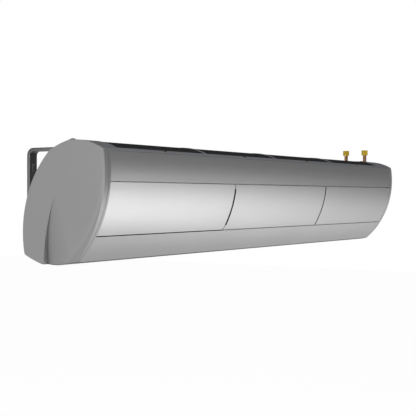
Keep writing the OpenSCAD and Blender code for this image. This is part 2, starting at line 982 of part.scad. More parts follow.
// Air path
center_gap = 180;
chamber_x0 = bulkhead_in;
chamber_x1 = mid_x - center_gap / 2;
scroll_shift = [2, 8];
scroll_c = [fan_y, fan_z] - scroll_shift;
scroll_r = 76;
scroll_angle = 62;
outlet_y1 = scroll_c[0] + scroll_r;
outlet_y0 = outlet_y1 - outlet_w;
tongue_gap = 8;
tongue_r = fan_r + tongue_gap;
tongue_from = 215;
tongue_to = 265;
rail_under_z = coil_z - sheet_t;

module scroll() {
    top = scroll_c + scroll_r * [cos(scroll_angle), sin(scroll_angle)];
    color([0.6, 0.62, 0.63])
        run(chamber_x0, chamber_x1)
        union() {
            arc_sheet(scroll_c, scroll_r, scroll_r + sheet_t, 0, scroll_angle);
            window([outlet_y1, nozzle_h], [outlet_y1 + sheet_t, scroll_c[1]]);
            window([top[0], top[1] - sheet_t / 4], [top[0] + sheet_t, rail_under_z]);
        }
}

module tongue() {
    fan_c = [fan_y, fan_z];
    tip = fan_c + tongue_r * [cos(tongue_from), sin(tongue_from)];
    foot = fan_c + tongue_r * [cos(tongue_to), sin(tongue_to)];
    head = [coil_y0 + rail_w / 3, rail_under_z];
    lap_share = 0.01;
    past_share = 0.1;
    color([0.6, 0.62, 0.63])
        run(chamber_x0, chamber_x1)
        union() {
            arc_sheet(fan_c, tongue_r, tongue_r + sheet_t, tongue_from, tongue_to);
            intersection() {
                strip(tip - (head - tip) * lap_share, head + (head - tip) * past_share, sheet_t);
                window([0, 0], [casing_d, rail_under_z]);
            }
            window([outlet_y0 - sheet_t, nozzle_h], [outlet_y0, foot[1]]);
        }
}

module scroll_left() on_wall() scroll();
module scroll_right() on_wall() at_right() scroll();
module tongue_left() on_wall() tongue();
module tongue_right() on_wall() at_right() tongue();

// Walls between the fan chambers and the motor
ring_r = 30;

module center_bulkheads() {
    color([0.55, 0.57, 0.58])
        on_wall()
        both_ends()
        run(chamber_x1 + fit_gap, chamber_x1 + fit_gap + plate_t)
        difference() {
            intersection() {
                outline(chassis_inset + 2 * sheet_t);
                window([0, 0], [casing_d, rail_under_z]);
            }
            disc([fan_y, fan_z], ring_r + fit_gap);
        }
}

// Outlet nozzle: two walls, end plates with the vane bores
nozzle_x0 = 36;
chamber_gap = 14;
nozzle_x1 = chamber_x1 - chamber_gap;
vane_y = [outlet_y0 + outlet_w / 4, outlet_y1 - outlet_w / 4];
vane_pin_r = 2.5;
nozzle_end_t = 4;
link_t = 2.5;
link_gap = 1;

module nozzle() {
    color([0.5, 0.5, 0.5])
        difference() {
            intersection() {
                run(nozzle_x0, nozzle_x1)
                    window([outlet_y0 - sheet_t, -base_drop], [outlet_y1 + sheet_t, nozzle_h - fit_gap]);
                run(nozzle_x0, nozzle_x1) outline(fit_gap);
            }
            run(nozzle_x0 + nozzle_end_t, nozzle_x1 - nozzle_end_t)
                window([outlet_y0, -base_drop - overrun], [outlet_y1, nozzle_h + overrun]);
            for (y = vane_y)
                rod(nozzle_x0 - overrun, nozzle_x1 + overrun, y, vane_z, vane_pin_r + fit_gap);
        }
}

module nozzle_left() on_wall() nozzle();
module nozzle_right() on_wall() at_right() nozzle();

// Guide vane: a lens section with pivot pins and a crank pin at its outer end
vane_x0 = nozzle_x0 + nozzle_end_t + 2 * link_gap + link_t;
vane_x1 = nozzle_x1 - nozzle_end_t - link_gap;

module vane_section() {
    bulge_r = (vane_chord * vane_chord / 4 + vane_t * vane_t / 4) / vane_t;
    intersection() {
        disc([bulge_r - vane_t / 2, 0], bulge_r);
        disc([vane_t / 2 - bulge_r, 0], bulge_r);
    }
}

module vane(y) {
    color([0.62, 0.62, 0.62])
        union() {
            run(vane_x0, vane_x1) translate([y, vane_z]) vane_section();
            rod(nozzle_x0, vane_x0 + nozzle_end_t, y, vane_z, vane_pin_r);
            rod(vane_x1 - nozzle_end_t, nozzle_x1, y, vane_z, vane_pin_r);
            rod(
                nozzle_x0 + nozzle_end_t + link_gap,
                vane_x0 + nozzle_end_t,
                y,
                vane_z + crank_l,
                vane_pin_r / 2
            );
        }
}

module vane_left_front() on_wall() vane(vane_y[0]);
module vane_left_rear() on_wall() vane(vane_y[1]);
module vane_right_front() on_wall() at_right() vane(vane_y[0]);
module vane_right_rear() on_wall() at_right() vane(vane_y[1]);

// Link bar between the two cranks of a nozzle
module vane_link() {
    link_r = 4;
    x0 = nozzle_x0 + nozzle_end_t + link_gap;
    color([0.15, 0.15, 0.15])
        run(x0, x0 + link_t)
        difference() {
            union() {
                window(
                    [vane_y[0], vane_z + crank_l - link_r],
                    [vane_y[1], vane_z + crank_l + link_r]
                );
                for (y = vane_y)
                    disc([y, vane_z + crank_l], link_r);
            }
            for (y = vane_y)
                disc([y, vane_z + crank_l], vane_pin_r / 2 + 2 * fit_gap);
        }
}

module vane_link_left() on_wall() vane_link();
module vane_link_right() on_wall() at_right() vane_link();

// Motor and rotor
hub_r = 20;
hub_x = chamber_x1 - plate_t;
impeller_x0 = 40;
impeller_x1 = chamber_x1 - chamber_gap;
coupling_r = 16;

module motor() {
    color([0.25, 0.27, 0.29])
        on_wall()
        difference() {
            union() {
                rod(mid_x - motor_l / 2, mid_x + motor_l / 2, fan_y, fan_z, motor_r);
                rod(hub_x, casing_l - hub_x, fan_y, fan_z, hub_r);
                for (a = [0 : 30 : 330])
                    translate([mid_x - motor_l / 3, fan_y, fan_z])
                        rotate([a, 0, 0])
                        translate([0, motor_r - sheet_t, -sheet_t / 2])
                        cube([motor_l * 2 / 3, 2 * sheet_t, sheet_t]);
            }
            rod(0, casing_l, fan_y, fan_z, shaft_r + fit_gap);
        }
}

module motor_rings() {
    ring_w = 8;
    color([0.1, 0.1, 0.1])
        on_wall()
        both_ends()
        translate([chamber_x1 + plate_t / 2 - ring_w / 2, fan_y, fan_z])
        rotate([0, 90, 0])
        difference() {
            cylinder(h = ring_w, r = ring_r);
            translate([0, 0, -overrun])
                cylinder(h = ring_w + 2 * overrun, r = hub_r + fit_gap);
        }
}

module run_capacitor() {
    can_r = 17.5;
    can_l = 70;
    x0 = chamber_x1 + plate_t + 2 * fit_gap;
    color([0.75, 0.75, 0.73])
        on_wall()
        rod(x0, x0 + can_l, fan_y + motor_r + can_r + 2 * sheet_t, fan_z + can_r, can_r);
}

module motor_shaft() {
    color([0.7, 0.7, 0.72])
        on_wall()
        rod(impeller_x1 - coupling_r / 2, casing_l - impeller_x1 + coupling_r / 2, fan_y, fan_z, shaft_r);
}

module couplings() {
    color([0.12, 0.12, 0.12])
        on_wall()
        both_ends()
        difference() {
            rod(impeller_x1 - coupling_r / 2, impeller_x1 + coupling_r / 2, fan_y, fan_z, coupling_r);
            rod(0, casing_l, fan_y, fan_z, shaft_r + fit_gap);
        }
}

// Crossflow impeller: curved blades between discs
disc_t = 2;
blade_h = 14;
blade_r = 12;

module blade_section() {
    c = [fan_r - blade_h / 2 - sheet_t, -blade_r * 3 / 4];
    intersection() {
        difference() {
            disc(c, blade_r + blade_t / 2);
            disc(c, blade_r - blade_t / 2);
        }
        difference() {
            circle(fan_r - sheet_t / 2);
            circle(fan_r - blade_h);
        }
        window([0, c[1]], [fan_r, fan_r]);
    }
}

module impeller() {
    span = impeller_x1 - impeller_x0 - disc_t;
    color([0.22, 0.23, 0.25])
        difference() {
            union() {
                for (i = [0 : blade_n - 1])
                    run(impeller_x0 + disc_t / 2, impeller_x1 - disc_t / 2)
                        translate([fan_y, fan_z])
                        rotate(i * 360 / blade_n)
                        blade_section();
                for (i = [0 : section_n])
                    rod(
                        impeller_x0 + i * span / section_n,
                        impeller_x0 + i * span / section_n + disc_t,
                        fan_y,
                        fan_z,
                        fan_r
                    );
                rod(bulkhead_in + 2 * seat_gap, impeller_x0 + disc_t, fan_y, fan_z, shaft_r);
            }
            for (i = [1 : section_n - 1])
                rod(
                    impeller_x0 + i * span / section_n - overrun,
                    impeller_x0 + i * span / section_n + disc_t + overrun,
                    fan_y,
                    fan_z,
                    fan_r - 2 * blade_h
                );
            rod(impeller_x1 - coupling_r, impeller_x1 + overrun, fan_y, fan_z, coupling_r + fit_gap);
        }
}

module impeller_left() on_wall() impeller();
module impeller_right() on_wall() at_right() impeller();

module bearings() {
    flange_r = 30;
    housing_r = 18;
    color([0.35, 0.35, 0.36])
        on_wall()
        both_ends()
        difference() {
            union() {
                rod(bulkhead_in, bulkhead_in + 2 * plate_t, fan_y, fan_z, flange_r);
                rod(bulkhead_in, impeller_x0 - 2 * housing_r / 3, fan_y, fan_z, housing_r);
            }
            rod(0, impeller_x0, fan_y, fan_z, shaft_r + fit_gap);
        }
}

// Electrics behind the right scroll
box_l = 160;
box_d = 28;
box_h = 62;
box_gap = 40;
box_x1 = casing_l - bulkhead_in - box_gap;
box_x0 = box_x1 - box_l;
box_y0 = outlet_y1 + sheet_t + fit_gap;
box_z0 = scroll_c[1] - box_h;

module electrics_box() {
    color([0.3, 0.3, 0.3])
        on_wall()
        difference() {
            translate([box_x0, box_y0, box_z0])
                cube([box_l, box_d, box_h]);
            translate([box_x0 + sheet_t, box_y0 + sheet_t, box_z0 + sheet_t])
                cube([box_l - 2 * sheet_t, box_d, box_h - 2 * sheet_t]);
        }
}

module electrics_lid() {
    color([0.33, 0.33, 0.33])
        on_wall()
        translate([box_x0, box_y0 + box_d + fit_gap, box_z0])
        cube([box_l, sheet_t, box_h]);
}

module terminal_block() {
    way_n = 6;
    way_w = 8;
    block_d = 12;
    block_h = 14;
    color([0.88, 0.87, 0.82])
        on_wall()
        translate([box_x0 + box_l / 2 - way_n * way_w / 2, box_y0 + sheet_t + fit_gap, box_z0 + box_h / 2])
        difference() {
            cube([way_n * way_w, block_d, block_h]);
            for (i = [0 : way_n - 1])
                translate([(i + 0.5) * way_w, block_d / 2, block_h / 2])
                    rotate([-90, 0, 0])
                    cylinder(h = block_d, r = way_w / 4);
        }
}

gland_under_shoulder = 8;
gland_angle = atan2(shoulder[1] - rear_c[1], shoulder[0] - rear_c[0]) - gland_under_shoulder;
gland_thread_r = 8;
gland_bore_r = 4.5;
gland_nut_t = 5;

// Stands a shape on the rear cover, square to it
module gland_place() {
    translate([box_x0 + box_l * 3 / 4, rear_c[0], rear_c[1]])
        rotate([gland_angle - 90, 0, 0])
        translate([0, 0, rear_r])
        children();
}

module rod_up(z0, z1, r) translate([0, 0, z0]) cylinder(h = z1 - z0, r = r);

module cable_gland() {
    nut_af = 22;
    color([0.13, 0.13, 0.13])
        on_wall()
        gland_place()
        difference() {
            union() {
                rod_up(-skin_t - gland_nut_t * 2, gland_nut_t, gland_thread_r);
                rod_up(seat_gap, seat_gap + gland_nut_t, nut_af / 2);
                translate([0, 0, seat_gap + gland_nut_t])
                    cylinder(h = gland_nut_t * 2, r1 = nut_af / 2 - sheet_t, r2 = gland_thread_r);
                rod_up(-skin_t - gland_nut_t - seat_gap, -skin_t - seat_gap, nut_af / 2);
            }
            rod_up(-casing_d, casing_d, gland_bore_r);
        }
}

upper_front_panel();
front_panel_left();
front_panel_middle();
front_panel_right();
lower_front_panel();
top_cover();
rear_cover();
bottom_cover();
front_chassis();
end_cap_left();
end_cap_right();
end_cap_clips();
end_cap_screws();
bulkhead_left();
bulkhead_right();
center_bulkheads();
intake_grille(0);  // intake_grille_1
intake_grille(1);  // intake_grille_2
intake_grille(2);  // intake_grille_3
intake_grille(3);  // intake_grille_4
grille_screws();
wall_bracket_left();
wall_bracket_right();
bracket_bolts();
coil_fins();
coil_tubes();
coil_end_plates();
coil_rails();
supply_header();
return_header();
supply_union();
return_union();
pipe_grommets();
bleed_valve();
scroll_left();
scroll_right();
tongue_left();
tongue_right();
nozzle_left();
nozzle_right();
vane_left_front();
vane_left_rear();
vane_link_left();
vane_right_front();
vane_right_rear();
vane_link_right();
motor();
motor_rings();
run_capacitor();
motor_shaft();
couplings();
impeller_left();
impeller_right();
bearings();
electrics_box();
electrics_lid();
terminal_block();
cable_gland();
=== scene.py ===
import json
import math

import bmesh
import bpy
from mathutils import Matrix, Vector

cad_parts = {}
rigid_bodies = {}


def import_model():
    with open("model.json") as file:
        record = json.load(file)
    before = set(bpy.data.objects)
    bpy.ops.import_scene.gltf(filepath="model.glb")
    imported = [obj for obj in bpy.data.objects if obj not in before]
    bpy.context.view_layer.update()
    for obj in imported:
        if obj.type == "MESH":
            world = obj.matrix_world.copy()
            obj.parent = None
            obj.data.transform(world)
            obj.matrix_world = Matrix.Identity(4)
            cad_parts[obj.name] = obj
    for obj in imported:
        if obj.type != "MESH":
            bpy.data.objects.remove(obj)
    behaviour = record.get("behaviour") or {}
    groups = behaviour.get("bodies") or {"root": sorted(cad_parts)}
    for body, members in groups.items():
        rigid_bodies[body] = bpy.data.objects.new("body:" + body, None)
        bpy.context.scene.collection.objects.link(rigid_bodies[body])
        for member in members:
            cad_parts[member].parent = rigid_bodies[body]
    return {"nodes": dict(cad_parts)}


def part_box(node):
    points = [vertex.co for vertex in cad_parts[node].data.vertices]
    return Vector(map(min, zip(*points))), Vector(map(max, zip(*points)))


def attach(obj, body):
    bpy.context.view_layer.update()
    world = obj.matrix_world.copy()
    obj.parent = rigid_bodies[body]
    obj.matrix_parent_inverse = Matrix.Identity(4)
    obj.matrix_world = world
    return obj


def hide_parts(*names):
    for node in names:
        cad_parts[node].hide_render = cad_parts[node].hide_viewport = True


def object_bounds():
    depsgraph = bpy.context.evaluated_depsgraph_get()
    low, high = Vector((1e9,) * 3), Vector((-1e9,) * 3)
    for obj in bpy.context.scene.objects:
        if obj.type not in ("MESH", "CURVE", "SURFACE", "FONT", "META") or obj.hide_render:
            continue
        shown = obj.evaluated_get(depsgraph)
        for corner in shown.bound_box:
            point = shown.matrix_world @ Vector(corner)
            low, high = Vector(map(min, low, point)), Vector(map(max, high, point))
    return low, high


for stray in list(bpy.data.objects):
    bpy.data.objects.remove(stray)
bpy.context.scene.view_settings.view_transform = "Standard"

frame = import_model()
nodes = frame["nodes"]
cadBox = [list(corner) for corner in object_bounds()]
print("frame loaded,", len(nodes), "nodes")

weldDistance = 1e-6  # corners nearer to each other than this are one


def placeObject(name, data):
    thing = bpy.data.objects.new(name, data)
    bpy.context.scene.collection.objects.link(thing)
    return thing


def meshFrom(bm, name):
    mesh = bpy.data.meshes.new(name)
    bm.to_mesh(mesh)
    bm.free()
    return mesh


def setInputs(tree, node, inputs):  # a socket is linked, anything else is a constant
    for key, value in inputs.items():
        if isinstance(value, bpy.types.NodeSocket):
            tree.links.new(value, node.inputs[key])
        else:
            node.inputs[key].default_value = value


def addNode(tree, kind, inputs=None, **settings):
    node = tree.nodes.new(kind)
    for key, value in settings.items():
        setattr(node, key, value)
    setInputs(tree, node, inputs or {})
    return node


def addMath(tree, operation, *values, **settings):
    inputs = dict(enumerate(values))
    return addNode(tree, "ShaderNodeMath", inputs, operation=operation, **settings).outputs[0]


def mapRange(tree, value, limits, results, curve="LINEAR"):
    node = addNode(tree, "ShaderNodeMapRange", {
        "Value": value, "From Min": limits[0], "From Max": limits[1],
        "To Min": results[0], "To Max": results[1],
    }, interpolation_type=curve)
    return node.outputs["Result"]


def mixColors(tree, share, first, second):
    inputs = {"Factor": share, "A": first, "B": second}
    return addNode(tree, "ShaderNodeMix", inputs, data_type="RGBA").outputs["Result"]


def mixShaders(tree, share, first, second):
    inputs = {0: share, 1: first.outputs[0], 2: second.outputs[0]}
    return addNode(tree, "ShaderNodeMixShader", inputs)


def splitCoords(tree, source):
    coords = addNode(tree, "ShaderNodeTexCoord").outputs[source]
    return addNode(tree, "ShaderNodeSeparateXYZ", {0: coords}).outputs


def seenDirectly(tree, path):  # by the camera, or through glass
    return addMath(tree, "MAXIMUM", path["Is Camera Ray"], path["Is Transmission Ray"])


# Camera as in the photograph: left of the casing, level, a little below its middle
shot = {
    "place": (-1.998, -1.9221, -0.0235),
    "turn": -56.78,  # degrees from straight at the wall
    "lens": 81.4,
    "shiftY": -0.0249,
    "clip": (0.05, 200),
}


def makeCamera():
    camera = placeObject("camera", bpy.data.cameras.new("camera"))
    camera.location = shot["place"]
    camera.rotation_euler = (math.radians(90), 0, math.radians(shot["turn"]))
    camera.data.lens = shot["lens"]
    camera.data.shift_y = shot["shiftY"]
    camera.data.clip_start, camera.data.clip_end = shot["clip"]
    bpy.context.scene.camera = camera


# Studio: white world that darkens overhead in reflections, pale floor at door height below,
# and soft lamps
studio = {
    "white": (1, 1, 1, 1),
    "worldDiffuse": 0.5,
    "level": 0.80,
    "overhead": 0.12,
    "horizonBand": (-0.33, 0.05),  # heights of the mirrored surroundings between bright and dark
    "sideBand": (0.83, 0.97),  # the surroundings darken towards the right end
    "sideDark": 0.25,
    "floorAt": (0.95, -0.15),
    "floorDrop": 2.75,
    "floorSize": 60,
    "floorColor": (0.86, 0.86, 0.86, 1),
    "floorLift": 0.55,
    # Brightness of the mirrored floor at places along Y, and its share left far along X
    "floorMirror": [
        (-30, 0.12), (-15, 0.26), (-9, 0.46), (-6, 0.66), (-4, 0.88), (-2.4, 1.19), (-0.8, 0.64),
    ],
    "floorSide": (6, 13),
    "floorSideDark": 0.45,
    "lamps": {
        "frontLow": {
            "at": (2.6, -2.9, -1.4), "aim": (0.7, -0.2, 0), "size": (2.9, 2.1), "power": 45,
        },
        "left": {
            "at": (-3.6, 0.6, 0.5), "aim": (0, -0.15, 0), "size": (1.8, 1.8), "power": 34,
        },
        "above": {
            "at": (1.0, -1.6, 2.6), "aim": (1.0, -0.1, 0), "size": (3.2, 1.6), "power": 26,
        },
    },
}


def makeWorld():
    world = bpy.data.worlds.new("studio")
    bpy.context.scene.world = world
    world.use_nodes = True
    tree = world.node_tree
    tree.nodes.clear()

    def background(strength):
        inputs = {"Color": studio["white"], "Strength": strength}
        return addNode(tree, "ShaderNodeBackground", inputs)

    path = addNode(tree, "ShaderNodeLightPath").outputs
    place = splitCoords(tree, "Generated")
    results = (studio["level"], studio["overhead"])
    height = mapRange(tree, place["Z"], studio["horizonBand"], results, "SMOOTHSTEP")
    side = mapRange(tree, place["X"], studio["sideBand"], (1, studio["sideDark"]), "SMOOTHSTEP")
    mirrored = background(addMath(tree, "MULTIPLY", height, side))
    around = mixShaders(tree, path["Is Glossy Ray"], background(studio["worldDiffuse"]), mirrored)
    shown = mixShaders(tree, seenDirectly(tree, path), around, background(1))
    addNode(tree, "ShaderNodeOutputWorld", {"Surface": shown.outputs[0]})


# Brightness of the floor in reflections, by place
def mirroredFloor(tree):
    place = splitCoords(tree, "Object")
    first, last = studio["floorMirror"][0][0], studio["floorMirror"][-1][0]
    along = mapRange(tree, place["Y"], (first, last), (0, 1))
    ramp = addNode(tree, "ShaderNodeValToRGB", {0: along})
    stops = ramp.color_ramp.elements
    for spot, level in studio["floorMirror"][1:-1]:
        stops.new((spot - first) / (last - first))
    for stop, (spot, level) in zip(stops, studio["floorMirror"]):
        stop.color = (level, level, level, 1)
    strength = mapRange(tree, place["X"], studio["floorSide"], (1, studio["floorSideDark"]))
    return addNode(tree, "ShaderNodeEmission", {"Color": ramp.outputs[0], "Strength": strength})


def makeFloor():
    bm = bmesh.new()
    bmesh.ops.create_grid(bm, x_segments=1, y_segments=1, size=studio["floorSize"] / 2)
    bmesh.ops.translate(bm, verts=bm.verts, vec=(*studio["floorAt"], -studio["floorDrop"]))
    floor = placeObject("floor", meshFrom(bm, "floor"))
    paint = bpy.data.materials.new("floorWhite")
    paint.use_nodes = True
    tree = paint.node_tree
    tree.nodes.clear()
    path = addNode(tree, "ShaderNodeLightPath").outputs
    base = addNode(tree, "ShaderNodeBsdfDiffuse", {"Color": studio["floorColor"]})
    strength = addMath(tree, "MULTIPLY", seenDirectly(tree, path), studio["floorLift"])
    lift = addNode(tree, "ShaderNodeEmission", {"Strength": strength})
    plain = addNode(tree, "ShaderNodeAddShader", {0: base.outputs[0], 1: lift.outputs[0]})
    seen = mixShaders(tree, path["Is Glossy Ray"], plain, mirroredFloor(tree))
    clear = addNode(tree, "ShaderNodeBsdfTransparent")  # from below the floor isn't there
    backfacing = addNode(tree, "ShaderNodeNewGeometry").outputs["Backfacing"]
    shown = mixShaders(tree, backfacing, seen, clear)
    addNode(tree, "ShaderNodeOutputMaterial", {"Surface": shown.outputs[0]})
    floor.data.materials.append(paint)


def makeLamps():
    for name, lamp in studio["lamps"].items():
        light = placeObject(name, bpy.data.lights.new(name, "AREA"))
        light.data.shape = "RECTANGLE"
        light.data.size, light.data.size_y = lamp["size"]
        light.data.energy = lamp["power"]
        light.location = lamp["at"]
        aim = Vector(lamp["aim"]) - Vector(lamp["at"])
        light.rotation_euler = aim.to_track_quat("-Z", "Y").to_euler()


makeCamera()
makeWorld()
makeFloor()
makeLamps()
print("camera and studio ready")

# Finishes. Colours are linear; "grain", "cloud" and "spangle" are pattern scales per metre
finishes = {
    "silverPaint": {
        "color": (0.50, 0.50, 0.505), "shade": (0.46, 0.46, 0.465), "metallic": 0.92,
        "rough": (0.42, 0.48), "grain": 2400, "cloud": 5, "bump": 0.012,
    },
    "darkSilverPaint": {
        "color": (0.30, 0.31, 0.33), "shade": (0.27, 0.28, 0.30), "metallic": 0.6,
        "rough": (0.38, 0.46), "grain": 2400, "cloud": 6, "bump": 0.012,
    },
    "capPaintAndRimShade": {
        "color": (0.44, 0.44, 0.442), "shade": (0.41, 0.41, 0.413), "metallic": 0.5,
        "rough": (0.52, 0.60), "grain": 1700, "cloud": 7, "bump": 0.03,
        # Painted shade: the rim beside the panels is darkened towards the top, and the cap along
        # its lower arc
        "rim": {
            "middle": 0.9575, "reach": (0.9965, 1.0005),  # along X, and away from there
            "heights": (-0.06, 0.03), "shade": 0.6,
            "lowShadeCenter": (0, -0.121, 0.118), "lowShadeReach": (0.3258, 0.3288),  # painted shade along the lower arc of the face
        },
    },
    # Underside and nozzles: dark paint, made darker still as painted shade under the casing
    "undersidePaintAndShade": {
        "color": (0.055, 0.056, 0.060), "shade": (0.042, 0.043, 0.046), "metallic": 0.2,
        "rough": (0.45, 0.55), "grain": 2400, "cloud": 6, "bump": 0.012,
    },
    "grilleBlack": {
        "color": (0.022, 0.022, 0.025), "shade": (0.014, 0.014, 0.016), "metallic": 0,
        "rough": (0.42, 0.55), "grain": 1500, "cloud": 30, "bump": 0.02,
    },
    "blackRubber": {
        "color": (0.010, 0.010, 0.010), "shade": (0.007, 0.007, 0.007), "metallic": 0,
        "rough": (0.7, 0.85), "grain": 900, "cloud": 60, "bump": 0.04, "specular": 0.2,
    },
    "galvanised": {
        "color": (0.55, 0.57, 0.58), "shade": (0.40, 0.42, 0.44), "metallic": 1,
        "rough": (0.34, 0.5), "grain": 1200, "spangle": 60, "bump": 0.01,
    },
    "bracketPaint": {
        "color": (0.27, 0.27, 0.275), "shade": (0.22, 0.22, 0.225), "metallic": 0.8,
        "rough": (0.38, 0.48), "grain": 800, "cloud": 25, "bump": 0.05,
    },
    "zinc": {
        "color": (0.62, 0.62, 0.60), "shade": (0.50, 0.50, 0.47), "metallic": 1,
        "rough": (0.3, 0.42), "grain": 1500, "cloud": 150, "bump": 0.02,
    },
    "finAluminium": {
        "color": (0.78, 0.79, 0.80), "shade": (0.68, 0.69, 0.70), "metallic": 1,
        "rough": (0.28, 0.4), "grain": 1500, "cloud": 40, "bump": 0.02,
    },
    "copper": {
        "color": (0.58, 0.31, 0.16), "shade": (0.42, 0.22, 0.11), "metallic": 0.75,
        "rough": (0.24, 0.42), "grain": 900, "cloud": 90, "bump": 0.015,
    },
    "brass": {
        "color": (1.0, 0.72, 0.07), "shade": (0.90, 0.60, 0.04), "metallic": 0.45,
        "rough": (0.2, 0.3), "grain": 1400, "cloud": 120, "bump": 0.012,
    },
    "vaneAluminium": {
        "color": (0.58, 0.58, 0.59), "shade": (0.5, 0.5, 0.51), "metallic": 1,
        "rough": (0.3, 0.4), "grain": 700, "cloud": 12, "bump": 0.015, "stretch": (0.04, 1, 1),
    },
    "motorPaint": {
        "color": (0.07, 0.08, 0.09), "shade": (0.05, 0.057, 0.065), "metallic": 0.1,
        "rough": (0.35, 0.5), "grain": 900, "cloud": 40, "bump": 0.03,
    },
    "impellerGrey": {
        "color": (0.18, 0.185, 0.2), "shade": (0.13, 0.135, 0.15), "metallic": 0.9,
        "rough": (0.35, 0.5), "grain": 1200, "cloud": 30, "bump": 0.015,
    },
    "shaftSteel": {
        "color": (0.62, 0.62, 0.64), "shade": (0.5, 0.5, 0.52), "metallic": 1,
        "rough": (0.18, 0.3), "grain": 1800, "cloud": 120, "bump": 0.01, "stretch": (4, 1, 1),
    },
    "palePlastic": {
        "color": (0.72, 0.70, 0.64), "shade": (0.64, 0.62, 0.56), "metallic": 0,
        "rough": (0.4, 0.55), "grain": 1200, "cloud": 60, "bump": 0.02,
    },
    "darkPlastic": {
        "color": (0.030, 0.030, 0.032), "shade": (0.02, 0.02, 0.021), "metallic": 0,
        "rough": (0.42, 0.55), "grain": 1500, "cloud": 50, "bump": 0.03,
    },
}
patterns = {
    "cloudDetail": 3,
    "grainDetail": 1,
    "bumpGain": 10,
    "bumpDistance": 0.0002,
    "specular": 0.5,  # where a finish gives none
    "stretch": (1, 1, 1),
}


# Painted shade on the rim of an end cap beside the panels, fading out downwards, and along the
# lower arc of the cap's face
def shadeRim(tree, coords, tint, rim):
    place = addNode(tree, "ShaderNodeSeparateXYZ", {0: coords}).outputs
    away = addMath(tree, "ABSOLUTE", addMath(tree, "SUBTRACT", place["X"], rim["middle"]))
    inboard = mapRange(tree, away, rim["reach"], (1, 0), "SMOOTHSTEP")
    high = mapRange(tree, place["Z"], rim["heights"], (0, 1), "SMOOTHSTEP")
    section = addNode(tree, "ShaderNodeVectorMath", {0: coords, 1: (0, 1, 1)},
                      operation="MULTIPLY")
    fromCenter = addNode(tree, "ShaderNodeVectorMath",
                         {0: section.outputs[0], 1: rim["lowShadeCenter"]}, operation="DISTANCE")
    lowEdgeShade = mapRange(tree, fromCenter.outputs["Value"], rim["lowShadeReach"], (0, 1), "SMOOTHSTEP")
    shadeAmount = addMath(tree, "MULTIPLY_ADD", inboard, high, lowEdgeShade, use_clamp=True)
    shadedTint = addNode(tree, "ShaderNodeVectorMath", {0: tint, "Scale": rim["shade"]},
                     operation="SCALE")
    return mixColors(tree, shadeAmount, tint, shadedTint.outputs[0])


def makeFinish(name, look):
    finish = bpy.data.materials.new(name)
    finish.use_nodes = True
    tree = finish.node_tree
    coords = addNode(tree, "ShaderNodeTexCoord").outputs["Object"]
    stretch = look.get("stretch", patterns["stretch"])
    place = addNode(tree, "ShaderNodeMapping", {"Vector": coords, "Scale": stretch}).outputs[0]

    def noise(scale, detail):
        inputs = {"Vector": place, "Scale": scale, "Detail": detail}
        return addNode(tree, "ShaderNodeTexNoise", inputs).outputs["Fac"]

    if "spangle" in look:
        inputs = {"Vector": place, "Scale": look["spangle"]}
        cells = addNode(tree, "ShaderNodeTexVoronoi", inputs).outputs["Color"]
        share = addNode(tree, "ShaderNodeSeparateColor", {0: cells}).outputs[0]
    else:
        share = noise(look["cloud"], patterns["cloudDetail"])
    tint = mixColors(tree, share, (*look["shade"], 1), (*look["color"], 1))
    # painted shade on the end caps' rims and lower arcs
    if "rim" in look:
        tint = shadeRim(tree, coords, tint, look["rim"])
    grain = noise(look["grain"], patterns["grainDetail"])
    bump = addNode(tree, "ShaderNodeBump", {
        "Height": grain,
        "Strength": look["bump"] * patterns["bumpGain"],
        "Distance": patterns["bumpDistance"],
    })
    setInputs(tree, tree.nodes["Principled BSDF"], {
        "Base Color": tint,
        "Metallic": look["metallic"],
        "Roughness": mapRange(tree, grain, (0, 1), look["rough"]),
        "Specular IOR Level": look.get("specular", patterns["specular"]),
        "Normal": bump.outputs[0],
    })
    return finish


made = {name: makeFinish(name, look) for name, look in finishes.items()}
nodeFinish = {
    "silverPaint": [
        "upper_front_panel", "front_panel_left", "front_panel_middle", "front_panel_right",
        "lower_front_panel",
    ],
    "darkSilverPaint": ["top_cover", "rear_cover"],
    "undersidePaintAndShade": ["bottom_cover", "nozzle_left", "nozzle_right"],
    "capPaintAndRimShade": ["end_cap_left", "end_cap_right"],
    "grilleBlack": ["intake_grille_1", "intake_grille_2", "intake_grille_3", "intake_grille_4"],
    "blackRubber": ["pipe_grommets", "motor_rings", "couplings"],
    "galvanised": [
        "front_chassis", "bulkhead_left", "bulkhead_right", "center_bulkheads",
        "coil_end_plates", "coil_rails", "scroll_left", "scroll_right", "tongue_left",
        "tongue_right",
    ],
    "bracketPaint": ["wall_bracket_left", "wall_bracket_right"],
    "zinc": ["end_cap_screws", "bracket_bolts", "bearings"],
    "finAluminium": ["coil_fins"],
    "copper": ["coil_tubes", "supply_header", "return_header"],
    "brass": ["supply_union", "return_union", "bleed_valve"],
    "vaneAluminium": ["vane_left_front", "vane_left_rear", "vane_right_front", "vane_right_rear"],
    "motorPaint": ["motor"],
    "impellerGrey": ["impeller_left", "impeller_right"],
    "shaftSteel": ["motor_shaft"],
    "palePlastic": ["run_capacitor", "terminal_block"],
    "darkPlastic": [
        "end_cap_clips", "grille_screws", "vane_link_left", "vane_link_right",
        "electrics_box", "electrics_lid", "cable_gland",
    ],
}
for finishName, names in nodeFinish.items():
    for name in names:
        for holder in nodes[name].material_slots:
            holder.material = made[finishName]
print("finishes on", sum(len(names) for names in nodeFinish.values()), "nodes")


def addPiece(name, bm, finish, body="casing"):
    mesh = meshFrom(bm, name)
    mesh.materials.append(made[finish])
    piece = placeObject(name, mesh)
    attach(piece, body)
    return piece


def shadeSmooth(piece, sharpAngle):
    for face in piece.data.polygons:
        face.use_smooth = True
    piece.data.set_sharp_from_angle(angle=math.radians(sharpAngle))


# Skin of the front panels: an arc in the section, with its centre at this Y and Z
frontSkin = {"radius": 0.34202, "center": (0.03102, 0.0508)}

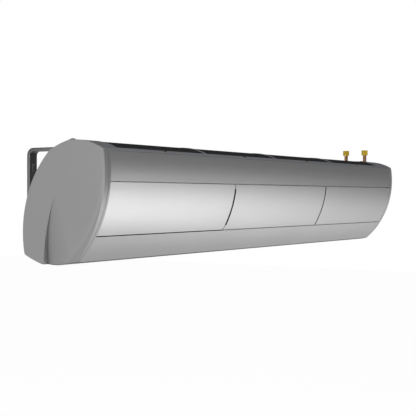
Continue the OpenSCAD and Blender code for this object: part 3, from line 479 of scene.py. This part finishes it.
# Rubber strips in the two gaps of the middle panels: a stem in the gap, and a low head over the
# panel edges that starts "lift" above the skin
seals = {
    "strips": [
        {
            "name": "gap_seal_first", "after": "front_panel_left", "gap": 0.003,
            "stem": 0.0013, "head": 0.0038, "proud": 0.0008, "deep": 0.003,
            "heights": (-0.1144, 0.0042),
        },
        {
            "name": "gap_seal_second", "after": "front_panel_middle", "gap": 0.0016,
            "stem": 0.0006, "head": 0.0028, "proud": 0.0008, "deep": 0.002,
            "heights": (-0.1275, 0.0175),
        },
    ],
    "lift": 0.00005,
    "chamfer": 0.5,  # share of the head's height
    "steps": 28,
    "sharpAngle": 35,
}


def makeSeal(strip):
    skin = frontSkin["radius"]
    centerY, centerZ = frontSkin["center"]
    start, end = (math.asin((z - centerZ) / skin) for z in strip["heights"])
    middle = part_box(strip["after"])[1][0] + strip["gap"] / 2
    stem, head, rest, top = strip["stem"], strip["head"], seals["lift"], strip["proud"]
    chamfer = top * seals["chamfer"]
    right = [
        (stem, -strip["deep"]), (stem, rest), (head, rest), (head, top - chamfer),
        (head - chamfer, top),
    ]
    bm = bmesh.new()
    ring = []
    for aside, high in right + [(-aside, high) for aside, high in reversed(right)]:
        y = centerY - (skin + high) * math.cos(start)
        z = centerZ + (skin + high) * math.sin(start)
        ring.append(bm.verts.new((middle + aside, y, z)))
    bm.faces.new(ring)
    bmesh.ops.spin(bm, geom=bm.verts[:] + bm.edges[:] + bm.faces[:], cent=(0, centerY, centerZ),
                   axis=(1, 0, 0), angle=start - end, steps=seals["steps"])
    bmesh.ops.remove_doubles(bm, verts=bm.verts, dist=weldDistance)
    bmesh.ops.recalc_face_normals(bm, faces=bm.faces)
    seal = addPiece(strip["name"], bm, "blackRubber")
    shadeSmooth(seal, seals["sharpAngle"])


for strip in seals["strips"]:
    makeSeal(strip)
print("gap seals")

# Rubber strip in the groove under the left middle panel: a stem, and a low lip over the edges
grooveSeal = {
    "panel": "front_panel_left", "below": "lower_front_panel", "groove": 0.0024,
    # Half of each height, and how far front and rear lie behind the skin
    "stem": {"half": 0.0011, "behind": (-0.0002, 0.0023)},
    "lip": {"half": 0.0014, "behind": (-0.0004, -0.00005)},
}


def makeGrooveSeal():
    centerY, centerZ = frontSkin["center"]
    left, right = (corner[0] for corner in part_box(grooveSeal["panel"]))
    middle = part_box(grooveSeal["below"])[1][2] + grooveSeal["groove"] / 2
    bm = bmesh.new()
    for form in (grooveSeal["stem"], grooveSeal["lip"]):
        front, rear = form["behind"]
        for vert in bmesh.ops.create_cube(bm, size=2)["verts"]:
            z = middle + form["half"] * vert.co.z
            skinY = centerY - math.sqrt(frontSkin["radius"] ** 2 - (z - centerZ) ** 2)
            x = right if vert.co.x > 0 else left
            vert.co = (x, skinY + (rear if vert.co.y > 0 else front), z)
    bmesh.ops.recalc_face_normals(bm, faces=bm.faces)
    addPiece("groove_seal", bm, "blackRubber")


makeGrooveSeal()
print("groove seal")

# Fin pack of the coil: thin plates with a rippled edge, pushed on the tubes
fins = {"pitch": 0.0045, "thick": 0.0003, "ripples": 20, "wave": 0.0005}


def makeFins():
    low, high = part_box("coil_fins")
    width, depth, height = (end - start for start, end in zip(low, high))
    bm = bmesh.new()
    bmesh.ops.create_cube(bm, size=1)
    bmesh.ops.scale(bm, vec=(fins["thick"], depth, height), verts=bm.verts)
    along = [edge for edge in bm.edges
             if abs(edge.verts[0].co.y - edge.verts[1].co.y) > fins["thick"]]
    bmesh.ops.subdivide_edges(bm, edges=along, cuts=fins["ripples"] - 1, use_grid_fill=True)
    for vert in bm.verts:
        if round((vert.co.y + depth / 2) / (depth / fins["ripples"])) % 2:
            vert.co.x += fins["wave"]
    center = (low[0], (low[1] + high[1]) / 2, (low[2] + high[2]) / 2)
    bmesh.ops.translate(bm, verts=bm.verts, vec=center)
    bmesh.ops.recalc_face_normals(bm, faces=bm.faces)
    pack = addPiece("fin_pack", bm, "finAluminium")
    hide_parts("coil_fins")
    row = pack.modifiers.new("row", "ARRAY")
    row.use_relative_offset = False
    row.use_constant_offset = True
    row.constant_offset_displace = (fins["pitch"], 0, 0)
    row.count = int((width - fins["wave"]) / fins["pitch"])


makeFins()
print("fin pack")

# Pan head screws with a cross recess that hold the rear cover, low on the back and behind its
# top seam. Each row lies on an arc of the section, with its centre at Y and Z, "turn" degrees up
screws = {
    "radius": 0.0042, "high": 0.0024, "sides": 16,
    "crown": 0.82, "inset": 0.2,  # shares of the radius
    "edge": 0.3,  # share of the height
    "recess": 0.0013, "taper": 0.7, "arm": 0.62, "notch": 0.22, "armAngle": 12,
    "rows": [
        {"center": (-0.32439, -0.1214), "radius": 0.31189, "turn": -8.6},
        {"center": (-0.24496, -0.12812), "radius": 0.27052, "turn": 69.2},
    ],
    "count": 9, "margin": 0.075,
}


def topFace(bm):
    return max(bm.faces, key=lambda face: face.calc_center_median().z)


def screwHead():
    radius, high = screws["radius"], screws["high"]
    bm = bmesh.new()
    bmesh.ops.create_cone(bm, cap_ends=True, segments=screws["sides"], radius1=radius,
                          radius2=radius * screws["crown"], depth=high)
    bmesh.ops.translate(bm, verts=bm.verts, vec=(0, 0, high / 2))
    bmesh.ops.bevel(bm, geom=list(topFace(bm).edges), offset=high * screws["edge"], segments=2,
                    profile=0.5, affect="EDGES", material=-1)
    crown = topFace(bm)
    bmesh.ops.inset_individual(bm, faces=[crown], thickness=radius * screws["inset"])
    for vert in crown.verts:  # every fourth corner stays out, the others draw in to a cross
        turn = math.degrees(math.atan2(vert.co.y, vert.co.x)) % 90
        isArm = min(turn, 90 - turn) < screws["armAngle"]
        vert.co.xy = vert.co.xy.normalized() * screws["arm" if isArm else "notch"] * radius
    pit = bmesh.ops.extrude_discrete_faces(bm, faces=[crown])["faces"][0]
    bmesh.ops.translate(bm, verts=pit.verts, vec=(0, 0, -screws["recess"]))
    bmesh.ops.scale(bm, verts=pit.verts, vec=(screws["taper"], screws["taper"], 1))
    bmesh.ops.recalc_face_normals(bm, faces=bm.faces)
    return meshFrom(bm, "screwHead")


def makeCoverScrews():
    head = screwHead()
    left, right = (corner[0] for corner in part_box("rear_cover"))
    span = right - left - 2 * screws["margin"]
    bm = bmesh.new()
    for row in screws["rows"]:
        turn = math.radians(row["turn"])
        out = Vector((0, math.cos(turn), math.sin(turn)))
        tilt = Matrix.Rotation(math.radians(row["turn"] - 90), 4, "X")
        for k in range(screws["count"]):
            x = left + screws["margin"] + span * k / (screws["count"] - 1)
            spot = Vector((x, *row["center"])) + out * row["radius"]
            bm.from_mesh(head)
            fresh = bm.verts[-len(head.vertices):]
            bmesh.ops.transform(bm, verts=fresh, matrix=Matrix.Translation(spot) @ tilt)
    addPiece("cover_screws", bm, "zinc")


makeCoverScrews()
print("cover screws")

# CAD pieces whose edges are broken: a copy with doubles merged and sharp edges bevelled
softened = {
    "wall_bracket_left": {"finish": "bracketPaint", "slot": "bracket_paint", "edge": 0.0011},
    "wall_bracket_right": {"finish": "bracketPaint", "slot": "bracket_paint", "edge": 0.0011},
    "end_cap_clips": {
        "finish": "darkPlastic", "slot": "dark_plastic", "edge": 0.0006, "proud": 0.0024,
    },
}
softening = {
    "flatAngle": 0.5, "bevelAngle": 30, "sharpAngle": 40,  # degrees
    "casingY": -0.155,  # middle of the casing's depth
    "outward": 0.7,  # least cosine between an outer face's normal and the way out
    "boxMargin": 0.0001,
}


# The outer faces of the piece are moved out from the skin
def standProud(bm, proud):
    moves = {}
    for face in bm.faces:
        middle = face.calc_center_median()
        outward = Vector((0, middle.y - softening["casingY"], middle.z)).normalized()
        if face.normal.dot(outward) > softening["outward"]:
            for vert in face.verts:
                moves[vert] = face.normal * proud
    for vert, move in moves.items():
        vert.co += move
        vert.co.z = max(vert.co.z, cadBox[0][2] + softening["boxMargin"])


def softenEdges(name, make):
    bm = bmesh.new()
    bm.from_mesh(nodes[name].data)
    bmesh.ops.remove_doubles(bm, verts=bm.verts, dist=weldDistance)
    bmesh.ops.dissolve_limit(bm, angle_limit=math.radians(softening["flatAngle"]),
                             verts=bm.verts, edges=bm.edges)
    bmesh.ops.recalc_face_normals(bm, faces=bm.faces)
    if "proud" in make:
        standProud(bm, make["proud"])
    bevelAngle = math.radians(softening["bevelAngle"])
    sharp = [edge for edge in bm.edges
             if edge.is_manifold and edge.calc_face_angle() > bevelAngle]
    bmesh.ops.bevel(bm, geom=sharp, offset=make["edge"], segments=2, profile=0.5,
                    affect="EDGES", material=-1, clamp_overlap=True)
    piece = addPiece(name + "_soft", bm, make["finish"])
    shadeSmooth(piece, softening["sharpAngle"])
    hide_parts(name)


for name, make in softened.items():
    softenEdges(name, make)
print("softened edges")
